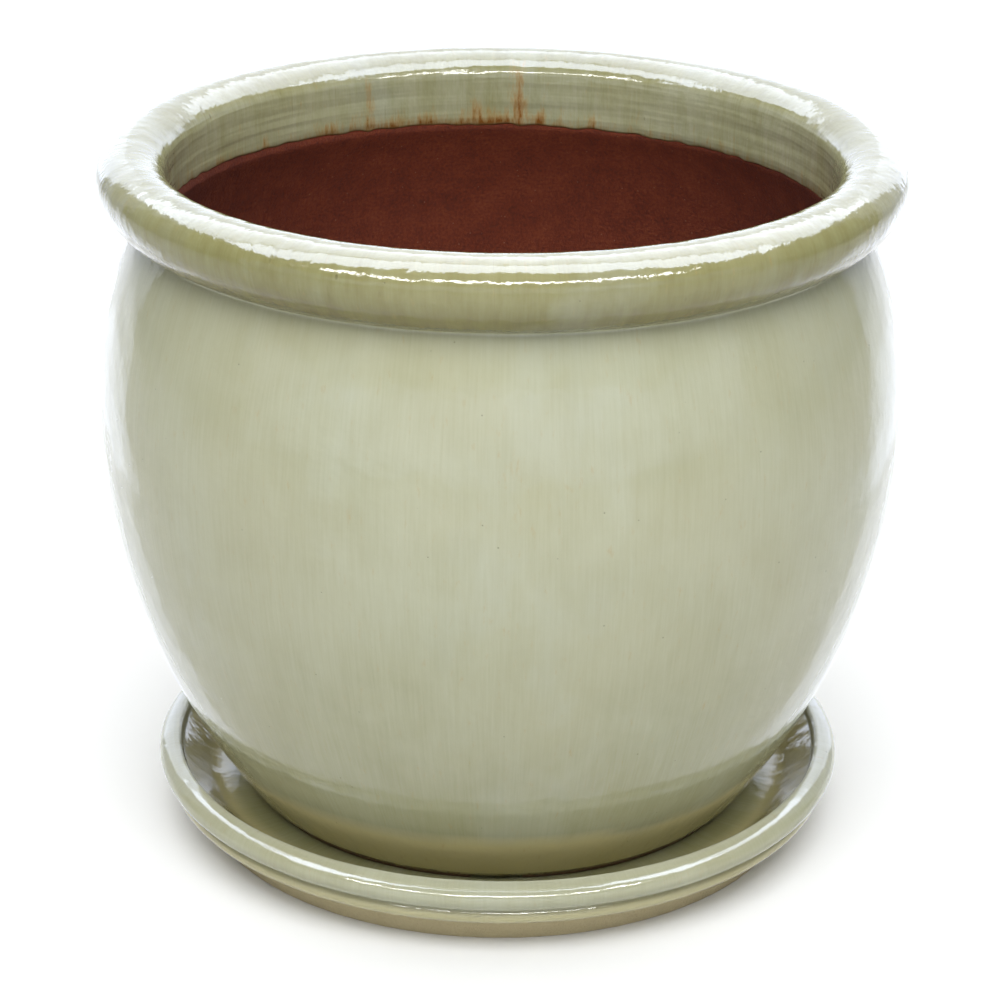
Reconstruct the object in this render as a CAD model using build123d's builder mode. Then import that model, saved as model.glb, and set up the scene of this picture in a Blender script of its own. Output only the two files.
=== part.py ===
"""Round glazed planter standing in its loose drip saucer.

A belly-shaped stoneware pot with a thick rolled rim, a bare clay inside, a foot ring and a drain
hole, and a shallow saucer with a beaded edge. Each clay body carries a coat of fired glaze, made
as a solid of its own that meets the clay face to face. Millimetres, +Z up, origin on the ground
at the centre of the saucer. Sections are drawn as (radius, height) on the XZ plane, and `depth`
is how far a section's surface lies under the finished, glazed one.
"""

import os
from math import asin, degrees, sqrt

from build123d import *

GLAZE = 0.8  # thickness of the coat of glaze

# Saucer
SAUCER_FLOOR = 15.0  # top of the glazed floor
SAUCER_BASE_RADIUS = 128.7
STEP_RADIUS = 131.6  # crevice under the lower bead, where the outside glaze ends
STEP_HEIGHT = 9.6
SAUCER_RECESS_RADIUS = 112.0  # the underside is hollowed inside its base ring
SAUCER_RECESS_DEPTH = 2.5
WALL_FOOT_RADIUS = 124.0  # where the inner wall meets the floor
WALL_FOOT_FILLET = 10.0
EDGE_RADIUS = 148.3  # outermost point of the upper bead
EDGE_HEIGHT = 26.8
CREST_RADIUS = 140.2  # highest point of the upper bead
CREST_HEIGHT = 32.6
MOUTH_RADIUS = 138.0  # innermost point of the upper bead
MOUTH_HEIGHT = 29.0
GROOVE_RADIUS = 142.6  # valley between the two beads
GROOVE_HEIGHT = 21.2
LOWER_BEAD_RADIUS = 139.4  # centre of the lower bead
LOWER_BEAD_HEIGHT = 17.4
LOWER_BEAD_HALF_WIDTH = 4.6
LOWER_BEAD_HALF_HEIGHT = 3.8

# Pot, outside
REST_GAP = 0.2  # clearance between the foot ring and the saucer's floor
FOOT_HEIGHT = SAUCER_FLOOR + REST_GAP
FOOT_ROUND = 2.0
BARE_FOOT = 3.0  # height of clay left bare above the foot
BELLY_RADIUS = 167.8
BELLY_HEIGHT = 190.0
SHOULDER_ARC = 172.0  # radius of the belly's curve above its widest point
FLANK_ARC = 285.5  # and below it
RIM_RADIUS = 165.0  # outermost point of the rolled rim
RIM_HEIGHT = 285.6
LIP_RADIUS = 151.7  # highest point of the rim
POT_TOP = 296.6
ROLL_CENTRE_RADIUS = 140.8  # centre of the ellipse under the roll
ROLL_DEPTH = 21.0
CREVICE_FILLET = 3.0  # pooled glaze where the roll meets the shoulder

# Pot, inside
NECK_RADIUS = 137.0  # glazed
INNER_GLAZE_END = 263.5
WALL = 12.5
INNER_FLOOR = 29.0
INNER_CORNER = 24.0

# Pot, underside
FOOT_RECESS_RADIUS = 90.0
FOOT_RECESS_DEPTH = 3.5
DRAIN_RADIUS = 13.0
NOTCH_COUNT = 3  # gaps in the foot ring that let the water out
NOTCH_START = -90.0  # bearing of the first one
NOTCH_WIDTH = 18.0
NOTCH_DEPTH = 2.5
NOTCH_REACH = 25.0  # half length of the cut, past the foot ring's outer edge

SHOULDER_CENTRE = BELLY_RADIUS - SHOULDER_ARC  # both centres lie at the belly's height
FLANK_CENTRE = BELLY_RADIUS - FLANK_ARC


def saucer_edge(depth):
    """The upper bead: three quarter ellipses closed through the wall behind it."""
    with BuildSketch() as section:
        with BuildLine():
            EllipticalCenterArc(
                (GROOVE_RADIUS, EDGE_HEIGHT),
                EDGE_RADIUS - GROOVE_RADIUS - depth,
                EDGE_HEIGHT - GROOVE_HEIGHT - depth,
                start_angle=270,
                arc_size=90,
            )
            EllipticalCenterArc(
                (CREST_RADIUS, EDGE_HEIGHT),
                EDGE_RADIUS - CREST_RADIUS - depth,
                CREST_HEIGHT - EDGE_HEIGHT - depth,
                start_angle=0,
                arc_size=90,
            )
            EllipticalCenterArc(
                (CREST_RADIUS, MOUTH_HEIGHT),
                CREST_RADIUS - MOUTH_RADIUS - depth,
                CREST_HEIGHT - MOUTH_HEIGHT - depth,
                start_angle=90,
                arc_size=90,
            )
            Polyline(
                (MOUTH_RADIUS + depth, MOUTH_HEIGHT),
                (CREST_RADIUS, MOUTH_HEIGHT),
                (CREST_RADIUS, GROOVE_HEIGHT + depth),
                (GROOVE_RADIUS, GROOVE_HEIGHT + depth),
            )
        make_face()
    return section.sketch


def saucer_section(depth):
    """Half section of the saucer, filled from the axis out to its inner and outer surfaces."""
    with BuildSketch() as section:
        with BuildLine():
            Polyline(
                (0, 0),
                (SAUCER_BASE_RADIUS, 0),
                (STEP_RADIUS, STEP_HEIGHT + depth),
                (LOWER_BEAD_RADIUS, LOWER_BEAD_HEIGHT - LOWER_BEAD_HALF_HEIGHT + depth),
                (GROOVE_RADIUS - depth, LOWER_BEAD_HEIGHT),
                (GROOVE_RADIUS - depth, MOUTH_HEIGHT),
                (MOUTH_RADIUS + depth, MOUTH_HEIGHT),
                (WALL_FOOT_RADIUS + depth, SAUCER_FLOOR - depth),
                (0, SAUCER_FLOOR - depth),
                close=True,
            )
        make_face()
        wall_foot = section.vertices().sort_by_distance((WALL_FOOT_RADIUS, SAUCER_FLOOR))[0]
        fillet(wall_foot, WALL_FOOT_FILLET + depth)
        with Locations((LOWER_BEAD_RADIUS, LOWER_BEAD_HEIGHT)):
            Ellipse(LOWER_BEAD_HALF_WIDTH - depth, LOWER_BEAD_HALF_HEIGHT - depth)
        add(saucer_edge(depth))
    return section.sketch


def rolled_rim(depth):
    """The rim: two quarter ellipses over the top and one under the roll, closed down the neck."""
    under = RIM_HEIGHT - ROLL_DEPTH + depth
    neck = NECK_RADIUS + depth
    with BuildSketch() as section:
        with BuildLine():
            EllipticalCenterArc(
                (ROLL_CENTRE_RADIUS, RIM_HEIGHT),
                RIM_RADIUS - ROLL_CENTRE_RADIUS - depth,
                ROLL_DEPTH - depth,
                start_angle=270,
                arc_size=90,
            )
            EllipticalCenterArc(
                (LIP_RADIUS, RIM_HEIGHT),
                RIM_RADIUS - LIP_RADIUS - depth,
                POT_TOP - RIM_HEIGHT - depth,
                start_angle=0,
                arc_size=90,
            )
            EllipticalCenterArc(
                (LIP_RADIUS, RIM_HEIGHT),
                LIP_RADIUS - neck,
                POT_TOP - RIM_HEIGHT - depth,
                start_angle=90,
                arc_size=90,
            )
            Polyline((neck, RIM_HEIGHT), (neck, under), (ROLL_CENTRE_RADIUS, under))
        make_face()
    return section.sketch


def belly(inset, bottom, top):
    """Region from the axis out to the belly's two arcs, between two heights."""
    flank = FLANK_ARC - inset
    shoulder = SHOULDER_ARC - inset
    down = asin((BELLY_HEIGHT - bottom) / flank)
    up = asin((top - BELLY_HEIGHT) / shoulder)
    with BuildSketch() as section:
        with BuildLine():
            lower = CenterArc((FLANK_CENTRE, BELLY_HEIGHT), flank, -degrees(down), degrees(down))
            upper = CenterArc((SHOULDER_CENTRE, BELLY_HEIGHT), shoulder, 0, degrees(up))
            Polyline(upper @ 1, (0, top), (0, bottom), lower @ 0)
        make_face()
    return section.sketch


def pot_hollow(depth):
    """The planting space: the belly inside the wall, and the straight neck above it."""
    inner_shoulder = SHOULDER_ARC - WALL
    neck_offset = NECK_RADIUS + GLAZE - SHOULDER_CENTRE
    neck_foot = BELLY_HEIGHT + sqrt(inner_shoulder**2 - neck_offset**2)
    with BuildSketch() as section:
        add(belly(WALL, INNER_FLOOR, neck_foot))
        floor_corner = section.vertices().group_by(Axis.Y)[0].sort_by(Axis.X)[-1]
        fillet(floor_corner, INNER_CORNER)
        with Locations((0, neck_foot)):
            Rectangle(NECK_RADIUS + depth, POT_TOP, align=(Align.MIN, Align.MIN))
    return section.sketch


def pot_section(depth):
    """Half section of the pot's wall, floor and rim."""
    with BuildSketch() as section:
        add(belly(depth, FOOT_HEIGHT, RIM_HEIGHT))
        add(rolled_rim(depth))
        under_rim = section.vertices().filter_by_position(
            Axis.Y, BELLY_HEIGHT, RIM_HEIGHT, inclusive=(False, False)
        )
        fillet(under_rim.sort_by(Axis.X)[-1], CREVICE_FILLET + depth)
        foot_edge = section.vertices().group_by(Axis.Y)[0].sort_by(Axis.X)[-1]
        fillet(foot_edge, FOOT_ROUND)
        add(pot_hollow(depth), mode=Mode.SUBTRACT)
    return section.sketch


with BuildPart() as saucer_body:
    with BuildSketch(Plane.XZ):
        add(saucer_section(GLAZE))
    revolve()
    with BuildSketch(Plane.XY):
        Circle(SAUCER_RECESS_RADIUS)
    extrude(amount=SAUCER_RECESS_DEPTH, mode=Mode.SUBTRACT)

with BuildPart() as saucer_glaze:
    with BuildSketch(Plane.XZ):
        add(saucer_section(0))
        add(saucer_section(GLAZE), mode=Mode.SUBTRACT)
        Rectangle(EDGE_RADIUS, STEP_HEIGHT, align=(Align.MIN, Align.MIN), mode=Mode.SUBTRACT)
    revolve()

with BuildPart() as pot_body:
    with BuildSketch(Plane.XZ):
        add(pot_section(GLAZE))
    revolve()
    with BuildSketch(Plane.XY.offset(FOOT_HEIGHT)):
        Circle(FOOT_RECESS_RADIUS)
    extrude(amount=FOOT_RECESS_DEPTH, mode=Mode.SUBTRACT)
    with BuildSketch(Plane.XY.offset(FOOT_HEIGHT)):
        with PolarLocations(FOOT_RECESS_RADIUS, NOTCH_COUNT, start_angle=NOTCH_START):
            Rectangle(2 * NOTCH_REACH, NOTCH_WIDTH)
    extrude(amount=NOTCH_DEPTH, mode=Mode.SUBTRACT)
    with Locations((0, 0, INNER_FLOOR)):
        Hole(DRAIN_RADIUS)

with BuildPart() as pot_glaze:
    with BuildSketch(Plane.XZ):
        add(pot_section(0))
        add(pot_section(GLAZE), mode=Mode.SUBTRACT)
        with Locations((0, FOOT_HEIGHT + BARE_FOOT)):
            Rectangle(BELLY_RADIUS, POT_TOP, align=(Align.MIN, Align.MIN), mode=Mode.INTERSECT)
        with Locations((0, INNER_GLAZE_END)):
            Rectangle(
                NECK_RADIUS + GLAZE,
                WALL,
                align=(Align.MIN, Align.MAX),
                mode=Mode.SUBTRACT,
            )
    revolve()

saucer_body.part.label = "saucer_body"
saucer_glaze.part.label = "saucer_glaze"
pot_body.part.label = "pot_body"
pot_glaze.part.label = "pot_glaze"

os.makedirs("parts", exist_ok=True)
export_step(saucer_body.part, "parts/saucer_body.step")
export_step(saucer_glaze.part, "parts/saucer_glaze.step")
export_step(pot_body.part, "parts/pot_body.step")
export_step(pot_glaze.part, "parts/pot_glaze.step")
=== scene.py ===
"""Looks of the round glazed planter and its drip saucer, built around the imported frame.

Each piece is turned from a half section, a closed outline of (radius, height), and carries the
unevenness that throwing, glazing and firing leave. Outlines follow the finished, glazed surface:
the clay lies GLAZE under it all round, and a coat of glaze stands on the clay between two ends.
Metres, +Z up, the origin on the ground at the centre of the saucer. Bearings are angles around
the pot's axis, anticlockwise from +X.
"""

from math import atan2, cos, degrees, radians, sin, sqrt, tan

import bpy
import numpy as np
from mathutils import Matrix, Quaternion, Vector


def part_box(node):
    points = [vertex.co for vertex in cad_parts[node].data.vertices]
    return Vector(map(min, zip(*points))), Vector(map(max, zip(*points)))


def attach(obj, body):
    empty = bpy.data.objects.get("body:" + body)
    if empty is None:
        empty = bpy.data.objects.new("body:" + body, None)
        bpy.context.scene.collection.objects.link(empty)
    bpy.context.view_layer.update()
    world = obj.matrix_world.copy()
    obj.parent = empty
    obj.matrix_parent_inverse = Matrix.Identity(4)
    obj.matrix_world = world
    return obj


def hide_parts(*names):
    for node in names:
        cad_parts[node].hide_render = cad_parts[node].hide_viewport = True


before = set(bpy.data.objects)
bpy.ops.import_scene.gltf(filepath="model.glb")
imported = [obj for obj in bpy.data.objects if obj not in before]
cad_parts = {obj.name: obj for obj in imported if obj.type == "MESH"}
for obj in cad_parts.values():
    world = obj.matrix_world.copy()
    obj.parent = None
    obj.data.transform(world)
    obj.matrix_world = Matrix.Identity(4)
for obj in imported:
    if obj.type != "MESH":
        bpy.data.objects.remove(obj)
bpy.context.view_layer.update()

MM = 0.001


def radius_of(node):
    """Outermost radius of a CAD node that is round about the axis."""
    low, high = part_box(node)
    return (high.x - low.x) / 2


def heights_of(node):
    """Lowest and highest points of a CAD node."""
    low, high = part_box(node)
    return low.z, high.z


# ---------------------------------------------------------------- sizes, matching the CAD frame

GLAZE = 0.8 * MM
SEGMENTS = 480  # around the axis
BEARINGS = np.linspace(0, 2 * np.pi, SEGMENTS, endpoint=False)
SAMPLE = 0.1 * MM  # spacing of an outline's samples
ARC_POINTS = 120

FOOT, POT_TOP = heights_of("pot_body")[0], heights_of("pot_glaze")[1]
BELLY_RADIUS = radius_of("pot_glaze")
BELLY_HEIGHT = 190 * MM
SHOULDER_ARC = 172 * MM
FLANK_ARC = 285.5 * MM
SHOULDER_CENTRE = BELLY_RADIUS - SHOULDER_ARC
FLANK_CENTRE = BELLY_RADIUS - FLANK_ARC
RIM_RADIUS = 165 * MM
RIM_HEIGHT = 285.6 * MM
LIP_RADIUS = 151.7 * MM
ROLL_CENTRE = 140.8 * MM
ROLL_DEPTH = 21 * MM
NECK_RADIUS = 137 * MM
NECK_FOOT = 262.6 * MM
WALL = 12.5 * MM
INNER_FLOOR = 29 * MM
INNER_CORNER = 24 * MM
FOOT_RADIUS = BELLY_RADIUS - 59 * MM
FOOT_RECESS_RADIUS = 90 * MM
FOOT_RECESS_DEPTH = 3.5 * MM
DRAIN_RADIUS = 13 * MM
FLAT_RADIUS = 100 * MM  # within it the floors are flat, and their texture isn't unrolled
BARE_FOOT = 0.4 * MM  # clay left bare under the glaze's lower end
INNER_GLAZE_END = 263.5 * MM  # height of the glaze's other end, inside the neck
POT_SOFTNESS = 0.8 * MM  # width of the blur that rounds the outline's corners
NOTCH_COUNT = 3
NOTCH_START = radians(-90)
NOTCH_WIDTH = 18 * MM
NOTCH_DEPTH = 2.5 * MM

SAUCER_TOP = heights_of("saucer_glaze")[1]
EDGE_RADIUS = radius_of("saucer_glaze")
SAUCER_FLOOR = 15 * MM
SAUCER_BASE_RADIUS = 128.7 * MM
SAUCER_RECESS_RADIUS = 112 * MM
SAUCER_RECESS_DEPTH = 2.5 * MM
STEP_RADIUS, STEP_HEIGHT = 131.6 * MM, 9.6 * MM
WALL_FOOT_RADIUS = 124 * MM
EDGE_HEIGHT = 26.8 * MM
CREST_RADIUS = 140.2 * MM
MOUTH_RADIUS, MOUTH_HEIGHT = 138 * MM, 29 * MM
GROOVE_RADIUS, GROOVE_HEIGHT = 142.6 * MM, 21.2 * MM
LOWER_BEAD = (139.4 * MM, 17.4 * MM)
LOWER_BEAD_HALF = (4.6 * MM, 3.8 * MM)
SAUCER_FILLET = 10 * MM
SAUCER_SOFTNESS = 0.5 * MM


# ------------------------------------------------------------------------------ outlines

def arc(centre, half_sizes, start, stop):
    """Points along an ellipse's arc, angles in degrees."""
    angle = np.radians(np.linspace(start, stop, ARC_POINTS))
    return np.column_stack([
        centre[0] + half_sizes[0] * np.cos(angle),
        centre[1] + half_sizes[1] * np.sin(angle),
    ])


def smoothed(values, sigma):
    """Values blurred along their length, with both ends kept where they are."""
    reach = int(4 * sigma) + 1
    weights = np.exp(-0.5 * (np.arange(-reach, reach + 1) / sigma) ** 2)
    before = 2 * values[0] - values[reach:0:-1]
    after = 2 * values[-1] - values[-2:-reach - 2:-1]
    padded = np.concatenate([before, values, after])
    return np.convolve(padded, weights / weights.sum(), mode="valid")


class Outline:
    """A half section's outline, read by length along it. Its normals point out of the piece."""

    def __init__(self, points, soften):
        points = np.asarray(points, float)
        gaps = np.hypot(*np.diff(points, axis=0).T)
        length = np.concatenate([[0], np.cumsum(gaps)])
        self.along = np.arange(0, length[-1], SAMPLE)
        self.radius, self.height = (
            smoothed(np.interp(self.along, length, column), soften / SAMPLE)
            for column in points.T
        )
        slope_r, slope_z = np.gradient(self.radius), np.gradient(self.height)
        size = np.hypot(slope_r, slope_z)
        self.normal_r, self.normal_z = slope_z / size, -slope_r / size
        turn = np.abs(np.gradient(np.unwrap(np.arctan2(slope_z, slope_r)))) / SAMPLE
        self.turn = smoothed(turn, 1 * MM / SAMPLE)

    def at(self, along, lift):
        """Radius and height at a length along the outline and a distance off it."""
        r, z, nr, nz = (
            np.interp(along, self.along, values)
            for values in (self.radius, self.height, self.normal_r, self.normal_z)
        )
        return r + lift * nr, z + lift * nz

    def nearest(self, radius, height):
        """Length along the outline of the point nearest to this one."""
        distance = np.hypot(self.radius - radius, self.height - height)
        return self.along[np.argmin(distance)]

    def stations(self, start, stop, longest, turn):
        """Lengths for a piece's rings: `longest` apart where straight, closer where it turns."""
        inside = (self.along >= start) & (self.along <= stop)
        along = self.along[inside]
        rings = np.cumsum(1 / longest + self.turn[inside] / radians(turn)) * SAMPLE
        count = int(rings[-1] - rings[0]) + 2
        return np.interp(np.linspace(rings[0], rings[-1], count), rings, along)


def pot_outline():
    """From the foot up the outside, over the rim, down the inside and back along the underside."""
    foot = FOOT - GLAZE
    down = degrees(np.arcsin((BELLY_HEIGHT - foot) / FLANK_ARC))
    flank = arc((FLANK_CENTRE, BELLY_HEIGHT), (FLANK_ARC, FLANK_ARC), -down, 0)
    past_roll = 40
    shoulder = arc(
        (SHOULDER_CENTRE, BELLY_HEIGHT), (SHOULDER_ARC, SHOULDER_ARC), 0, past_roll
    )
    roll = (RIM_RADIUS - ROLL_CENTRE, ROLL_DEPTH)
    under_rim = arc((ROLL_CENTRE, RIM_HEIGHT), roll, -90, 0)
    in_roll = np.hypot((shoulder[:, 0] - ROLL_CENTRE) / roll[0],
                       (shoulder[:, 1] - RIM_HEIGHT) / roll[1]) < 1
    shoulder = shoulder[:np.argmax(in_roll)]
    from_centre = np.hypot(under_rim[:, 0] - SHOULDER_CENTRE, under_rim[:, 1] - BELLY_HEIGHT)
    under_rim = under_rim[from_centre > SHOULDER_ARC]
    crown = POT_TOP - RIM_HEIGHT
    outer_lip = arc((LIP_RADIUS, RIM_HEIGHT), (RIM_RADIUS - LIP_RADIUS, crown), 0, 90)
    inner_lip = arc((LIP_RADIUS, RIM_HEIGHT), (LIP_RADIUS - NECK_RADIUS, crown), 90, 180)
    inner_shoulder, inner_flank = (size - WALL - GLAZE for size in (SHOULDER_ARC, FLANK_ARC))
    up = degrees(np.arcsin((NECK_FOOT - BELLY_HEIGHT) / inner_shoulder))
    inside_top = arc((SHOULDER_CENTRE, BELLY_HEIGHT), (inner_shoulder, inner_shoulder), up, 0)
    floor = INNER_FLOOR + GLAZE
    corner = INNER_CORNER - GLAZE
    corner_centre = (
        FLANK_CENTRE + sqrt((inner_flank - corner) ** 2 - (BELLY_HEIGHT - floor - corner) ** 2),
        floor + corner,
    )
    corner_turn = degrees(np.arcsin((BELLY_HEIGHT - floor - corner) / (inner_flank - corner)))
    inside_flank = arc(
        (FLANK_CENTRE, BELLY_HEIGHT), (inner_flank, inner_flank), 0, -corner_turn
    )
    inside_corner = arc(corner_centre, (corner, corner), -corner_turn, -90)
    drain = DRAIN_RADIUS - GLAZE
    underside = FOOT + FOOT_RECESS_DEPTH - GLAZE
    recess = FOOT_RECESS_RADIUS - GLAZE
    base = [(drain, floor), (drain, underside), (recess, underside), (recess, foot)]
    points = [flank, shoulder, under_rim, outer_lip, inner_lip, inside_top, inside_flank,
              inside_corner, base, flank[:1]]
    return Outline(np.concatenate(points), POT_SOFTNESS)


def saucer_outline():
    """From the axis along the underside, up over both beads and down to the floor's middle."""
    base = -GLAZE
    underside = SAUCER_RECESS_DEPTH - GLAZE
    recess = SAUCER_RECESS_RADIUS - GLAZE
    lean = (STEP_RADIUS - SAUCER_BASE_RADIUS) / STEP_HEIGHT
    bottom = [
        (0, underside),
        (recess, underside),
        (recess, base),
        (SAUCER_BASE_RADIUS + GLAZE, base),
        (SAUCER_BASE_RADIUS + GLAZE + lean * STEP_HEIGHT, STEP_HEIGHT),
    ]
    bead_turn = degrees(np.arccos((GROOVE_RADIUS - LOWER_BEAD[0]) / LOWER_BEAD_HALF[0]))
    lower_bead = arc(LOWER_BEAD, LOWER_BEAD_HALF, -80, bead_turn)
    upper_bead = [
        arc((GROOVE_RADIUS, EDGE_HEIGHT),
            (EDGE_RADIUS - GROOVE_RADIUS, EDGE_HEIGHT - GROOVE_HEIGHT), -90, 0),
        arc((CREST_RADIUS, EDGE_HEIGHT),
            (EDGE_RADIUS - CREST_RADIUS, SAUCER_TOP - EDGE_HEIGHT), 0, 90),
        arc((CREST_RADIUS, MOUTH_HEIGHT),
            (CREST_RADIUS - MOUTH_RADIUS, SAUCER_TOP - MOUTH_HEIGHT), 90, 180),
    ]
    wall = atan2(MOUTH_HEIGHT - SAUCER_FLOOR, MOUTH_RADIUS - WALL_FOOT_RADIUS)
    reach = SAUCER_FILLET * tan(wall / 2)
    foot_centre = (WALL_FOOT_RADIUS - reach, SAUCER_FLOOR + SAUCER_FILLET)
    wall_foot = arc(foot_centre, (SAUCER_FILLET, SAUCER_FILLET), degrees(wall) - 90, -90)
    points = [bottom, lower_bead, *upper_bead, wall_foot, [(0, SAUCER_FLOOR)]]
    return Outline(np.concatenate(points), SAUCER_SOFTNESS)


# ---------------------------------------------------------------------------- unevenness

def uneven(seed, lowest, highest, fade=0.0):
    """A wavy closed line around the pot, within -1 and 1: harmonics with random phases."""
    rng = np.random.default_rng(seed)
    order = np.arange(lowest, highest + 1)
    size = rng.uniform(0.4, 1, len(order)) / order**fade
    phase = rng.uniform(0, 2 * np.pi, len(order))
    line = (size[:, None] * np.cos(order[:, None] * BEARINGS + phase[:, None])).sum(0)
    return line / np.abs(line).max()


def dimpled(seed, along, around, up):
    """A wavy surface, within about -1 and 1, of features `around` wide and `up` tall: a sum of
    slanted waves with random slopes and phases."""
    waves = 48
    usual_peak = 1.6 * sqrt(waves)
    rng = np.random.default_rng(seed)
    field = np.zeros(np.broadcast_shapes(along.shape, BEARINGS.shape))
    turns = 2 * np.pi * BELLY_RADIUS / around
    for _ in range(waves):
        order = int(turns * rng.uniform(0.35, 1.2))
        climb = 2 * np.pi / up * rng.uniform(-1.2, 1.2)
        field += np.cos(order * BEARINGS + climb * along + rng.uniform(0, 2 * np.pi))
    return field / usual_peak


def bump_at(bearing, width):
    """One lobe around a bearing in degrees, 1 at its middle, falling to a third at `width` to each
    side of it, measured in the neck."""
    gap = (BEARINGS - radians(bearing) + np.pi) % (2 * np.pi) - np.pi
    return np.exp(-((gap * NECK_RADIUS / width) ** 2))


def ease(value, low, high):
    """0 below low, 1 above high, smooth between."""
    t = np.clip((value - low) / (high - low), 0, 1)
    return t * t * (3 - 2 * t)


def groove(along, place, width):
    """A narrow furrow around the piece, 1 at its middle."""
    return np.exp(-(((along - place) / width) ** 2))


# ------------------------------------------------------------------------------ meshes

def turned(name, along, section, on_axis, fields):
    """A closed mesh of rings around the axis, one row each, from the inside of the piece's loop
    round to its start again. `on_axis` closes the first and last ring on the axis instead."""
    radius, height = section
    rings = len(radius)
    points = np.stack([radius * np.cos(BEARINGS), radius * np.sin(BEARINGS), height], axis=-1)
    points = points.reshape(-1, 3)
    ring, segment = np.meshgrid(np.arange(rings), np.arange(SEGMENTS), indexing="ij")
    after = (segment + 1) % SEGMENTS
    above = (ring + 1) % rings
    quads = np.stack([
        ring * SEGMENTS + segment,
        ring * SEGMENTS + after,
        above * SEGMENTS + after,
        above * SEGMENTS + segment,
    ], axis=-1)
    faces = quads[:rings - 1 if on_axis else rings].reshape(-1, 4).tolist()
    unrolled = BELLY_RADIUS * np.minimum(radius / FLAT_RADIUS, 1)
    around = np.stack([
        unrolled * np.cos(BEARINGS),
        unrolled * np.sin(BEARINGS),
        along,
    ], axis=-1).reshape(-1, 3)
    if on_axis:
        first_pole = len(points)
        points = np.vstack([points, [0, 0, height[0].mean()], [0, 0, height[-1].mean()]])
        around = np.vstack([around, [0, 0, along[0].mean()], [0, 0, along[-1].mean()]])
        last_ring = (rings - 1) * SEGMENTS
        for s in range(SEGMENTS):
            following = (s + 1) % SEGMENTS
            faces.append([following, s, first_pole])
            faces.append([last_ring + s, last_ring + following, first_pole + 1])
    mesh = bpy.data.meshes.new(name)
    mesh.from_pydata(points.tolist(), [], faces)
    mesh.shade_smooth()
    layer = mesh.attributes.new("turned", "FLOAT_VECTOR", "POINT")
    layer.data.foreach_set("vector", around.astype(np.float32).ravel())
    for field, values in fields.items():
        values = np.broadcast_to(values, radius.shape).ravel()
        if on_axis:
            values = np.append(values, [values[0], values[-1]])
        layer = mesh.attributes.new(field, "FLOAT", "POINT")
        layer.data.foreach_set("value", values.astype(np.float32))
    piece = bpy.data.objects.new(name, mesh)
    bpy.context.scene.collection.objects.link(piece)
    return piece


def lopsided(radius, height, seed):
    """Radius drawn in by up to 0.5 mm where the thrown form isn't quite round, and less near the
    axis."""
    lean = uneven(seed, 2, 5, 1.0) * np.sin(height / (90 * MM))
    egg = uneven(seed + 1, 2, 4, 1.0)
    pull = 0.12 * MM * (2 + lean + egg)
    return radius - pull * ease(radius, 30 * MM, 90 * MM)


def wander(stations, start, stop):
    """Rings' lengths at each bearing, with the first and last ring on the wandering ends."""
    near = 22 * MM
    at_start = 1 - ease(stations, stations[0], stations[0] + near)
    at_stop = ease(stations, stations[-1] - near, stations[-1])
    shift = np.outer(at_start, start - stations[0]) + np.outer(at_stop, stop - stations[-1])
    return stations[:, None] + shift


def coat(name, outline, stations, start, stop, sag, seed, paint, on_axis=False):
    """A coat of glaze on the clay, from its start to its stop around the pot, or to the axis.
    Its face rounds off at the ends and lies `sag` under the outline; its back is in the clay."""
    bead = 1.6 * MM
    in_clay = 0.06 * MM
    coarser = 6
    face = wander(stations, np.broadcast_to(start, SEGMENTS), np.broadcast_to(stop, SEGMENTS))
    to_end = face - face[0]
    if not on_axis:
        to_end = np.minimum(to_end, face[-1] - face)
    rounding = np.sqrt(1 - (1 - np.clip(to_end / bead, 0, 1)) ** 2)
    face_lift = (GLAZE - sag(face)) * rounding - GLAZE
    back = np.concatenate([face[-1:], face[-2:0:-coarser], face[:1]])
    along = np.concatenate([back, face])
    lift = np.concatenate([np.full(back.shape, -GLAZE - in_clay), face_lift])
    end = np.concatenate([np.zeros(back.shape), to_end / MM])
    radius, height = outline.at(along, lift)
    radius = lopsided(radius, height, seed)
    fields = {"end": end, **paint(along, height)}
    return turned(name, along, (radius, height), on_axis, fields)


# ------------------------------------------------------------------------------ the pieces

POT = pot_outline()
SAUCER = saucer_outline()
CREVICE = POT.nearest(151 * MM, 266 * MM)  # where the roll meets the shoulder
LIP = POT.nearest(LIP_RADIUS, POT_TOP)
NECK_END = POT.nearest(NECK_RADIUS, NECK_FOOT)
POT_SEED, SAUCER_SEED = 5, 7  # for how each is out of round


def pot_dimples(along):
    """How far the pot's glaze lies under the finished outline."""
    broad = dimpled(11, along, 55 * MM, 80 * MM)
    ripple = dimpled(12, along, 16 * MM, 26 * MM)
    on_rim = ease(along, CREVICE, CREVICE + 6 * MM)
    size = 0.10 * MM * (1 + 0.5 * broad) + (0.035 + 0.035 * on_rim) * MM * (1 + ripple)
    throwing = groove(along, LIP + 24 * MM, 0.9 * MM) * 0.22 * MM
    return np.clip(size + throwing, 0, 0.45 * MM)


# Where the glaze runs past its line inside the neck: bearing, and reach in millimetres.
RUNS = [(87, 0.8), (95, 0.6), (116, 0.8), (61, 0.6), (40, 0.7)]
RUN_WIDTH = 2.2 * MM

# Rusty streaks that climb from that line: bearing, width and reach in millimetres, strength.
STREAKS = [
    (87, 3.4, 34, 0.75), (83, 3.0, 12, 0.8), (95, 4.0, 17, 0.7), (116, 2.2, 26, 0.65),
    (73, 2.0, 9, 0.7), (124, 5.0, 10, 0.6), (139, 2.0, 9, 0.6), (152, 4.0, 8, 0.5),
]
STREAK_END = 5 * MM  # over which a streak fades out at its top


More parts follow.
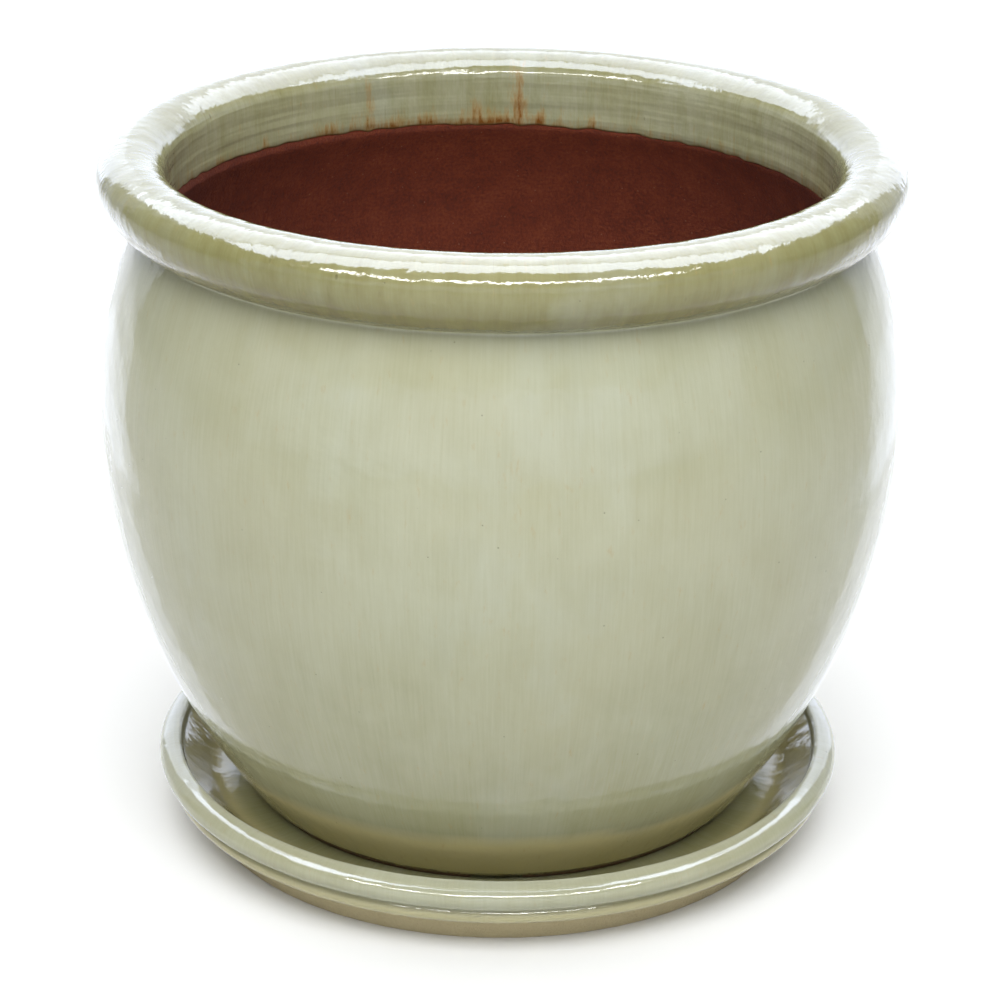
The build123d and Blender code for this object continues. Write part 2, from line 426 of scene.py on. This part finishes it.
def neck_line():
    """How far along the outline the glaze ends inside the neck, around the pot."""
    slant = 3.2 * MM * (0.5 + 0.5 * np.cos(BEARINGS - radians(175)))
    scallops = 0.8 * MM * uneven(22, 14, 90, 0.3)
    runs = sum(reach * MM * bump_at(bearing, RUN_WIDTH) for bearing, reach in RUNS)
    return POT.nearest(NECK_RADIUS, INNER_GLAZE_END) + 0.6 * MM - slant + scallops + runs


def neck_rust(along):
    """Iron showing through near the neck's glaze line, most of it at the back, and in streaks."""
    line = neck_line()
    scallops = 0.35 + 0.65 * (0.5 + 0.5 * uneven(31, 9, 70, 0.3))
    at_back = 0.35 + 0.65 * bump_at(100, 50 * MM)
    rust = ease(along, line - 9 * MM, line) * scallops * at_back
    for bearing, width, reach, strength in STREAKS:
        top = line - reach * MM
        climb = ease(along, top, line)
        climb = (0.4 * (climb > 0) + 0.6 * climb) * ease(along, top, top + STREAK_END)
        rust = np.maximum(rust, strength * bump_at(bearing, width * MM) * climb)
    return rust


def pot_paint(along, height):
    """Painted shade under the roll and towards the foot, and where the glaze is on the rim, in the
    neck, in the low wavy band above the foot (partly a painted reflection of the saucer), and over
    rust."""
    # painted shade on the underside of the rim's roll, where little light reaches
    shade_under_roll = groove(along, CREVICE + 9 * MM, 9 * MM)
    # the low band above the foot: yellow glaze, partly a painted reflection of the saucer below it
    tide = height + 3 * MM * uneven(33, 3, 30, 0.5)
    bottom = 1 - ease(tide, FOOT + 24 * MM, FOOT + 30 * MM)
    # painted shade: the glaze drawn darker towards the foot, where less light falls
    shade_towards_foot = 0.6 * (1 - ease(height, 20 * MM, 175 * MM)) * (1 - bottom)
    return {
        # painted shade, under the roll and low on the body, carried to the glaze's colour
        "painted_shade": np.maximum(shade_under_roll, shade_towards_foot),
        "rim": ease(along, CREVICE - 1 * MM, CREVICE + 2 * MM),
        "neck_and_crest_highlight": ease(along, LIP + 10 * MM, LIP + 20 * MM),
        "low": bottom,
        "rust": neck_rust(along),
    }


def make_pot_glaze():
    start = POT.nearest(FOOT_RADIUS, FOOT + BARE_FOOT)
    stop = POT.nearest(NECK_RADIUS, INNER_GLAZE_END)
    stations = POT.stations(start, stop, 5.5 * MM, 6)
    bottom_line = start + 0.2 * MM * (1 + uneven(21, 3, 24, 0.6))
    return coat("pot_glazed_skin", POT, stations, bottom_line, neck_line(), pot_dimples,
                POT_SEED, pot_paint)


def notched(height, radius):
    """Heights with the foot ring's drain notches cut into them."""
    bearings = NOTCH_START + np.arange(NOTCH_COUNT) * 2 * np.pi / NOTCH_COUNT
    half = NOTCH_WIDTH / 2
    cut = np.zeros(SEGMENTS)
    for bearing in bearings:
        gap = np.abs((BEARINGS - bearing + np.pi) % (2 * np.pi) - np.pi) * FOOT_RECESS_RADIUS
        cut = np.maximum(cut, 1 - ease(gap, half - 1.5 * MM, half + 0.5 * MM))
    near_foot = 1 - ease(height, FOOT + 0.5 * MM, FOOT + 5 * MM)
    on_ring = ease(radius, FOOT_RECESS_RADIUS - 3 * MM, FOOT_RECESS_RADIUS - 1.2 * MM)
    return height + NOTCH_DEPTH * cut * near_foot * on_ring


def make_pot_clay():
    """The whole clay wall: coarser rings where the glaze covers it, and throwing lines and grit
    inside."""
    bare = POT.nearest(NECK_RADIUS, INNER_GLAZE_END + 6 * MM)
    above_foot = POT.nearest(FOOT_RADIUS + 3 * MM, FOOT + 8 * MM)
    covered = POT.stations(above_foot, bare, 16 * MM, 12)
    inside = POT.stations(bare, POT.along[-1], 5 * MM, 9)
    foot = POT.stations(0, covered[0], 1.5 * MM, 9)
    stations = np.concatenate([foot[:-1], covered[:-1], inside[:-1]])
    along = np.repeat(stations[:, None], SEGMENTS, axis=1)
    lines = 0.5 + 0.5 * np.sin(along / (1.7 * MM) + 2 * dimpled(41, along, 120 * MM, 60 * MM))
    grit = 1 + dimpled(42, along, 9 * MM, 7 * MM)
    past_neck = ease(along, NECK_END + 2 * MM, NECK_END + 12 * MM)
    rough = 0.10 * lines + 0.12 * grit
    radius, height = POT.at(along, -GLAZE - rough * MM * past_neck)
    height = notched(height, radius)
    radius = lopsided(radius, height, POT_SEED)
    past_lip = ease(along, LIP, LIP + 1 * MM)
    ring = ease(radius, FOOT_RECESS_RADIUS - 4 * MM, FOOT_RECESS_RADIUS - 1 * MM)
    on_foot = (1 - ease(height, FOOT + 4 * MM, FOOT + 8 * MM)) * ring
    return turned("pot_clay", along, (radius, height), False, {"washed": past_lip * (1 - on_foot)})


def saucer_dimples(along):
    """How far the saucer's glaze lies under the finished outline."""
    broad = dimpled(51, along, 50 * MM, 40 * MM)
    ripple = dimpled(52, along, 14 * MM, 9 * MM)
    return np.clip(0.08 * MM * (1 + broad) + 0.035 * MM * (1 + ripple), 0, 0.4 * MM)


def saucer_paint(along, height):
    """Painted shade in the saucer's groove and over its inside, a painted highlight on the crest,
    pale as in the pot's neck, yellow below the groove and inside as above the pot's foot, rust at
    its lower end."""
    foot_of_wall = SAUCER.nearest(WALL_FOOT_RADIUS, SAUCER_FLOOR)
    groove_place = SAUCER.nearest(GROOVE_RADIUS, (LOWER_BEAD[1] + EDGE_HEIGHT) / 2)
    mouth = SAUCER.nearest(MOUTH_RADIUS, MOUTH_HEIGHT)
    inside = ease(along, mouth, mouth + 2.5 * MM)
    wall = inside - ease(along, foot_of_wall, foot_of_wall + 9 * MM)
    # painted shade: darker in the groove and over the saucer's inside, under the pot
    painted_shade = 0.5 * groove(along, groove_place, 2 * MM) + inside
    start = SAUCER.nearest(STEP_RADIUS, STEP_HEIGHT)
    rust = 1 - ease(along, start, start + 2.2 * MM)
    below = 1 - ease(along, groove_place - 4 * MM, groove_place)
    low = np.maximum(below, np.clip(wall, 0, 1))
    # painted highlight: the crest, which faces the light overhead, drawn paler
    crest_highlight = groove(along, mouth - 3 * MM, 4 * MM)
    return {"painted_shade": painted_shade, "rim": 0.0, "neck_and_crest_highlight": crest_highlight, "low": 0.6 * low, "rust": 0.55 * rust}


def make_saucer_glaze():
    start = SAUCER.nearest(STEP_RADIUS + 0.8 * MM, STEP_HEIGHT + 0.2 * MM)
    stop = SAUCER.along[-1] - 1 * MM
    stations = SAUCER.stations(start, stop, 5 * MM, 7)
    line = start + 0.35 * MM * (1 + uneven(61, 3, 40, 0.5))
    return coat("saucer_glazed_skin", SAUCER, stations, line, stop, saucer_dimples,
                SAUCER_SEED, saucer_paint, on_axis=True)


def make_saucer_clay():
    start = SAUCER.nearest(STEP_RADIUS + 6 * MM, STEP_HEIGHT + 3 * MM)
    under = SAUCER.stations(1 * MM, start, 4 * MM, 8)
    covered = SAUCER.stations(start, SAUCER.along[-1] - 1 * MM, 14 * MM, 14)
    stations = np.concatenate([under[:-1], covered])
    along = np.repeat(stations[:, None], SEGMENTS, axis=1)
    uncovered = 1 - ease(along, start - 5 * MM, start)
    rough = 0.07 * MM * (1 + dimpled(71, along, 10 * MM, 5 * MM)) * uncovered
    radius, height = SAUCER.at(along, -GLAZE - rough)
    height = np.maximum(height, 0)
    return turned("saucer_clay", along, (radius, height), True, {"washed": 0.0})


# ---------------------------------------------------------------------------- materials

class Graph:
    """One material's nodes: each call adds a node and gives its output."""

    def __init__(self, name):
        self.material = bpy.data.materials.new(name)
        self.material.use_nodes = True
        self.tree = self.material.node_tree
        self.tree.nodes.clear()
        self.shader = self.tree.nodes.new("ShaderNodeBsdfPrincipled")
        output = self.tree.nodes.new("ShaderNodeOutputMaterial")
        self.tree.links.new(self.shader.outputs["BSDF"], output.inputs["Surface"])

    def put(self, socket, value):
        if isinstance(value, bpy.types.NodeSocket):
            self.tree.links.new(value, socket)
        else:
            socket.default_value = value

    def field(self, name, output="Fac"):
        node = self.tree.nodes.new("ShaderNodeAttribute")
        node.attribute_name = name
        return node.outputs[output]

    def math(self, operation, a, b):
        node = self.tree.nodes.new("ShaderNodeMath")
        node.operation = operation
        self.put(node.inputs[0], a)
        self.put(node.inputs[1], b)
        return node.outputs[0]

    def stretched(self, vector, sizes):
        node = self.tree.nodes.new("ShaderNodeVectorMath")
        node.operation = "MULTIPLY"
        self.put(node.inputs[0], vector)
        node.inputs[1].default_value = sizes
        return node.outputs[0]

    def noise(self, vector, scale, detail=2.0, roughness=0.5, distortion=0.0):
        """Noise spread about zero, from about -1 to 1."""
        node = self.tree.nodes.new("ShaderNodeTexNoise")
        self.put(node.inputs["Vector"], vector)
        node.inputs["Scale"].default_value = scale
        node.inputs["Detail"].default_value = detail
        node.inputs["Roughness"].default_value = roughness
        node.inputs["Distortion"].default_value = distortion
        return self.between(node.outputs["Fac"], (0.25, 0.75), (-1, 1))

    def between(self, value, low_high, to=(0.0, 1.0)):
        """Value carried from one range to another, and held inside it."""
        node = self.tree.nodes.new("ShaderNodeMapRange")
        self.put(node.inputs["Value"], value)
        node.inputs["From Min"].default_value, node.inputs["From Max"].default_value = low_high
        node.inputs["To Min"].default_value, node.inputs["To Max"].default_value = to
        return node.outputs["Result"]

    def spots(self, vector, scale, size):
        """Small round spots scattered in space, 1 in the middle and 0 outside."""
        node = self.tree.nodes.new("ShaderNodeTexVoronoi")
        self.put(node.inputs["Vector"], vector)
        node.inputs["Scale"].default_value = scale
        return self.between(node.outputs["Distance"], (0.45 * size * scale, size * scale), (1, 0))

    def weighted(self, *terms):
        """The sum of (value, weight) pairs."""
        total = None
        for value, weight in terms:
            part = self.math("MULTIPLY", value, weight)
            total = part if total is None else self.math("ADD", total, part)
        return total

    def ramp(self, factor, stops):
        node = self.tree.nodes.new("ShaderNodeValToRGB")
        elements = node.color_ramp.elements
        while len(elements) < len(stops):
            elements.new(1.0)
        for element, (place, colour) in zip(elements, stops):
            element.position = place
            element.color = (*colour, 1)
        self.put(node.inputs["Fac"], factor)
        return node.outputs["Color"]

    def mix(self, factor, under, over):
        """One colour socket covered by another colour, a socket or three numbers."""
        node = self.tree.nodes.new("ShaderNodeMix")
        node.data_type = "RGBA"
        self.put(node.inputs[0], factor)
        self.put(node.inputs[6], under)
        self.put(node.inputs[7], over if isinstance(over, bpy.types.NodeSocket) else (*over, 1))
        return node.outputs[2]

    def bump(self, height, distance, normal=None):
        """Relief of a height from about -1 to 1, times a distance in metres."""
        node = self.tree.nodes.new("ShaderNodeBump")
        node.inputs["Strength"].default_value = 1.0
        node.inputs["Distance"].default_value = distance
        self.put(node.inputs["Height"], height)
        if normal is not None:
            self.put(node.inputs["Normal"], normal)
        return node.outputs["Normal"]

    def finish(self, colour, roughness, normal, **sockets):
        self.put(self.shader.inputs["Base Color"], colour)
        self.put(self.shader.inputs["Roughness"], roughness)
        self.put(self.shader.inputs["Normal"], normal)
        for name, value in sockets.items():
            self.shader.inputs[name.replace("_", " ")].default_value = value
        return self.material


def celadon_colour(g, place, clouds, holes):
    """Pale where the glaze is thick and milky, olive where it thins, darker where shade is painted,
    paler on the saucer's crest as a painted highlight, with vertical hairs, clouds, flecks and
    pinholes."""
    painted_shade, rim, neck_and_crest_highlight, low = (g.field(name) for name in ("painted_shade", "rim", "neck_and_crest_highlight", "low"))
    hairs = g.noise(g.stretched(place, (1, 1, 0.045)), 950, 3, 0.6)
    streaks = g.noise(g.stretched(place, (1, 1, 0.12)), 210, 4, 0.6)
    flow = g.noise(g.stretched(place, (1, 1, 0.35)), 60, 3)
    blotches = g.noise(g.stretched(place, (1, 1, 0.3)), 130, 4, 0.65)
    # darker where shade is painted; paler in the pot's neck and on the saucer's crest, a painted
    # highlight
    shade = g.weighted(
        (hairs, 0.035), (streaks, 0.015), (clouds, 0.05), (flow, 0.02), (painted_shade, 0.24),
        (rim, 0.37), (g.math("MULTIPLY", rim, blotches), 0.09), (neck_and_crest_highlight, -0.24),
    )
    usual_shade = 0.30
    shade = g.math("ADD", shade, usual_shade)
    colour = g.ramp(shade, [
        (0.0, (0.40, 0.41, 0.32)),
        (usual_shade, (0.295, 0.30, 0.205)),
        (0.58, (0.185, 0.182, 0.080)),
        (0.80, (0.13, 0.12, 0.035)),
        (1.0, (0.09, 0.07, 0.025)),
    ])
    warm = g.between(g.noise(place, 14, 3), (-1, 1), (0.0, 0.22))
    colour = g.mix(warm, colour, (0.31, 0.28, 0.155))
    cool = g.between(g.noise(g.stretched(place, (1, 1, 0.6)), 19, 4, 0.6), (0.1, 1), (0.0, 0.24))
    colour = g.mix(cool, colour, (0.34, 0.37, 0.33))
    # yellow in the low band: above the pot's foot, partly a painted reflection of the saucer
    colour = g.mix(g.math("MULTIPLY", low, 0.9), colour, (0.41, 0.36, 0.17))
    dark_hairs = g.between(g.noise(g.stretched(place, (1, 1, 0.03)), 700, 2, 0.7), (0.62, 1.0))
    dark_hairs = g.math("MULTIPLY", dark_hairs, g.between(rim, (0, 1), (0.06, 0.45)))
    colour = g.mix(dark_hairs, colour, (0.16, 0.14, 0.06))
    flecks = g.spots(g.stretched(place, (1, 1, 0.5)), 130, 0.75 * MM)
    flecked = g.between(g.noise(place, 45, 2), (0.0, 0.6), (0.0, 0.6))
    flecks = g.math("MULTIPLY", g.math("MULTIPLY", flecks, flecked), rim)
    colour = g.mix(flecks, colour, (0.07, 0.055, 0.02))
    return g.mix(g.math("MULTIPLY", holes, 0.5), colour, (0.10, 0.085, 0.05))


def rusted(g, place, colour):
    """Iron coming through in grainy patches, and a dark line where the coat thins to its end."""
    grains = g.noise(g.stretched(place, (1, 1, 0.3)), 420, 4, 0.65)
    iron = g.math("ADD", g.math("MULTIPLY", grains, 0.32), g.field("rust"))
    iron = g.between(iron, (0.14, 0.75))
    colour = g.mix(iron, colour, g.ramp(iron, [
        (0.0, (0.30, 0.22, 0.09)), (0.5, (0.27, 0.14, 0.03)), (1.0, (0.16, 0.06, 0.012)),
    ]))
    thin_end = g.between(g.field("end"), (0.0, 1.6), (0.85, 0.0))
    return g.mix(thin_end, colour, (0.16, 0.12, 0.05))


def glaze_relief(g, place, holes):
    """Slow waves, throwing rings in the neck, dents on the rim, orange peel and pinholes."""
    waves = g.bump(g.noise(place, 75, 2), 0.10 * MM)
    rings = g.noise(g.stretched(place, (0.05, 0.05, 1)), 170, 2)
    waves = g.bump(g.math("MULTIPLY", g.field("neck_and_crest_highlight"), rings), 0.25 * MM, waves)
    dents = g.math("MULTIPLY", g.field("rim"), g.noise(place, 90, 3, 0.6))
    waves = g.bump(dents, 0.11 * MM, waves)
    peel = g.bump(g.noise(place, 330, 3, 0.55), 0.018 * MM, waves)
    return g.bump(g.math("MULTIPLY", holes, -1.0), 0.12 * MM, peel)


def glaze_material():
    """Celadon over stoneware, glossy and a little duller on the rim."""
    g = Graph("celadon_glaze")
    place = g.field("turned", "Vector")
    clouds = g.noise(place, 26, 4, 0.55, 0.4)
    holes = g.spots(place, 90, 0.42 * MM)
    colour = rusted(g, place, celadon_colour(g, place, clouds, holes))
    roughness = g.between(clouds, (-1, 1), (0.045, 0.10))
    roughness = g.math("ADD", roughness, g.math("MULTIPLY", g.field("rim"), 0.04))
    return g.finish(colour, roughness, glaze_relief(g, place, holes), IOR=1.52)


def clay_material(name, colours, pale_speck, stain):
    """Coarse fired clay: turned lines, mottled iron, sand, pale and dark specks. `colours` run from
    dark to light, and `stain` tints the clay that isn't washed clean."""
    g = Graph(name)
    place = g.field("turned", "Vector")
    lines = g.noise(g.stretched(place, (0.12, 0.12, 1)), 900, 3, 0.6)
    grain = g.noise(place, 650, 4, 0.7)
    mottle = g.noise(place, 70, 4, 0.6)
    shade = g.weighted((lines, 0.04), (grain, 0.26), (mottle, 0.14))
    shade = g.math("ADD", shade, 0.5)
    colour = g.ramp(shade, list(zip((0.1, 0.5, 0.95), colours)))
    specks = g.spots(place, 210, 0.42 * MM)
    colour = g.mix(g.math("MULTIPLY", specks, 0.35), colour, pale_speck)
    out_of_step = (1, 1, 1.01)  # so that dark specks and pale ones don't line up
    dark = g.spots(g.stretched(place, out_of_step), 170, 0.5 * MM)
    colour = g.mix(g.math("MULTIPLY", dark, 0.55), colour, colours[0])
    stained = g.between(g.field("washed"), (0, 1), (0.75, 0.0))
    colour = g.mix(stained, colour, stain)
    roughness = g.between(grain, (-1, 1), (0.72, 0.95))
    relief = g.weighted((lines, 0.25), (grain, 0.75))
    return g.finish(
        colour, roughness, g.bump(relief, 0.22 * MM), IOR=1.45, Specular_IOR_Level=0.2
    )


def floor_material():
    """Plain white paper, which is no part of the object."""
    g = Graph("white_floor")
    g.put(g.shader.inputs["Base Color"], (0.71, 0.715, 0.7175, 1))
    g.put(g.shader.inputs["Roughness"], 0.9)
    g.put(g.shader.inputs["Specular IOR Level"], 0.0)
    return g.material


# ---------------------------------------------------------------------- camera and lights

VIEW_DISTANCE = 1.284
VIEW_PITCH = radians(22.858)
VIEW_ROLL = radians(0.488)
TARGET_HEIGHT = 132.4 * MM
FOCAL_LENGTH, SENSOR_WIDTH = 108.3, 36  # millimetres
VIEW_SHIFT = (0.0004, 0.0125)  # of the picture, in widths of it


def make_camera():
    """The photograph's view: from the front and above, with a long lens."""
    data = bpy.data.cameras.new("camera")
    data.lens, data.sensor_width = FOCAL_LENGTH, SENSOR_WIDTH
    data.shift_x, data.shift_y = VIEW_SHIFT
    data.clip_start, data.clip_end = 0.05, 50
    camera = bpy.data.objects.new("camera", data)
    bpy.context.scene.collection.objects.link(camera)
    back = Vector((0, -cos(VIEW_PITCH), sin(VIEW_PITCH)))
    place = Matrix.Translation(Vector((0, 0, TARGET_HEIGHT)) + VIEW_DISTANCE * back)
    tilt = Matrix.Rotation(radians(90) - VIEW_PITCH, 4, "X")
    camera.matrix_world = place @ tilt @ Matrix.Rotation(VIEW_ROLL, 4, "Z")
    bpy.context.scene.camera = camera


WHITE, COOL = (1, 1, 1), (0.74, 0.81, 1.0)
RIM_FRONT = (0, -0.1, RIM_HEIGHT)  # inside the front of the rim
TENT_HEIGHT = 1.4
TENT_TURN = radians(50)  # the tent's open front, as an angle from +Y at each side of the pot
LAMP_DISTANCE, LAMP_HEIGHT, LAMP_BRIGHTNESS = 1.6, 0.18, 26.0
SIDE_LAMPS = [(130, 36, 0.26), (147, 35, 0.28), (164, 36, 0.32)]  # azimuth, elevation, width
MIDDLE_LAMP = (180, 37, 0.40)


def panel(name, centre, facing, size, brightness, colour=WHITE, turn=0.0):
    """A soft rectangular light facing a point, turned about the vertical, unseen by the camera."""
    data = bpy.data.lights.new(name, "AREA")
    data.shape = "RECTANGLE"
    data.size, data.size_y = size
    data.energy = 4 * size[0] * size[1] * brightness
    data.color = colour
    light = bpy.data.objects.new(name, data)
    light.location = centre
    towards = Vector(facing) - Vector(centre)
    aimed = towards.to_track_quat("-Z", "Y")
    light.rotation_euler = (Quaternion((0, 0, 1), turn) @ aimed).to_euler()
    light.visible_camera = False
    bpy.context.scene.collection.objects.link(light)
    return light


def lighting(*shape_and_brightness):
    """A panel that lights the pot and doesn't show in its reflections."""
    light = panel(*shape_and_brightness)
    light.visible_glossy = False


def reflection(*shape_and_brightness, colour=COOL, turn=0.0):
    """A panel that only shows in reflections."""
    light = panel(*shape_and_brightness, colour, turn)
    light.visible_diffuse = False


def side_ground(side):
    """From the pot's side to the middle of the white ground that starts at the tent's front."""
    along = Vector((side * sin(TENT_TURN), cos(TENT_TURN), 0))
    inward = Vector((-side * cos(TENT_TURN), sin(TENT_TURN), 0))
    return 0.55 * along + 0.18 * inward


def away(azimuth, elevation):
    """A lamp's place, seen from the rim's front: azimuth 0 is behind the pot, 90 towards +X."""
    flat = LAMP_DISTANCE * cos(radians(elevation))
    turn = radians(azimuth)
    rise = LAMP_DISTANCE * sin(radians(elevation))
    x, y, z = RIM_FRONT
    return (x + flat * sin(turn), y + flat * cos(turn), z + rise)


def lamp(azimuth, elevation, width):
    size = (width, LAMP_HEIGHT)
    reflection("lamp", away(azimuth, elevation), RIM_FRONT, size, LAMP_BRIGHTNESS, colour=WHITE)


def make_lights():
    """Soft light from high in front and above, and a tent that shows in the glaze: bright overhead
    and behind, white panels close on both sides, and a broken row of lamps over the camera."""
    aim = (0, 0, 0.2)
    lighting("key", (0, -0.85, 1.25), aim, (1.5, 0.8), 5.4)
    lighting("fill", (0, -2.2, 0.75), aim, (1.5, 1.1), 1.6)
    lighting("top", (0, 1.3, 1.5), (0, 1.3, 0), (3.6, 3.0), 1.5)
    reflection("overhead", (0, -0.085, TENT_HEIGHT), (0, -0.085, 0), (2.6, 0.67), 10.5)
    reflection("overhead_back", (0, 1.05, TENT_HEIGHT), (0, 1.05, 0), (2.6, 1.5), 6.0)
    reflection("back", (0, 1.95, 0.75), (0, 0, 0.4), (3.0, 1.4), 2.0)
    reflection("front", (0, -2.0, 0.42), (0, 0, 0.42), (3.8, 0.84), 1.0)
    for side in (-1, 1):
        reflection("flank", (side * 1.9, -1.35, 0.42), (0, -1.35, 0.42), (1.3, 0.84), 0.6)
        reflection("side", (side * 0.36, 0.56, 0.32), (0, 0.51, 0.32), (0.88, 0.62), 0.62)
        ground = Vector((side * 0.15, -0.05, 0.003)) + side_ground(side)
        above = ground + Vector((0, 0, 1))
        reflection("ground", ground, above, (0.36, 1.2), 0.38, turn=-side * TENT_TURN)
        for azimuth, elevation, width in SIDE_LAMPS:
            lamp(side * azimuth, elevation, width)
    lamp(*MIDDLE_LAMP)
    world = bpy.data.worlds.new("room")
    world.use_nodes = True
    world.node_tree.nodes["Background"].inputs["Color"].default_value = (0.30, 0.31, 0.32, 1)
    bpy.context.scene.world = world


def make_floor():
    half = 12.0
    mesh = bpy.data.meshes.new("floor")
    corners = [(-half, -half, 0), (half, -half, 0), (half, half, 0), (-half, half, 0)]
    mesh.from_pydata(corners, [], [(0, 1, 2, 3)])
    floor = bpy.data.objects.new("floor", mesh)
    bpy.context.scene.collection.objects.link(floor)
    floor.data.materials.append(floor_material())


# ------------------------------------------------------------------------------ the scene

bpy.context.scene.view_settings.view_transform = "Standard"
make_camera()
make_lights()
make_floor()

celadon = glaze_material()
red_clay = clay_material(
    "red_clay",
    ((0.050, 0.009, 0.003), (0.122, 0.021, 0.006), (0.21, 0.050, 0.016)),
    (0.34, 0.17, 0.10),
    (0.10, 0.065, 0.035),
)
buff_clay = clay_material(
    "buff_clay",
    ((0.26, 0.21, 0.12), (0.46, 0.40, 0.245), (0.56, 0.51, 0.35)),
    (0.55, 0.52, 0.40),
    (0.42, 0.355, 0.21),
)
PIECES = [
    (make_saucer_clay, "saucer_body", "saucer", "buff_clay", buff_clay),
    (make_saucer_glaze, "saucer_glaze", "saucer", "saucer_glaze", celadon),
    (make_pot_clay, "pot_body", "pot", "red_clay", red_clay),
    (make_pot_glaze, "pot_glaze", "pot", "pot_glaze", celadon),
]
for make, node, body, slot, material in PIECES:
    piece = make()
    piece.data.materials.append(material)
    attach(piece, body)
    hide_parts(node)
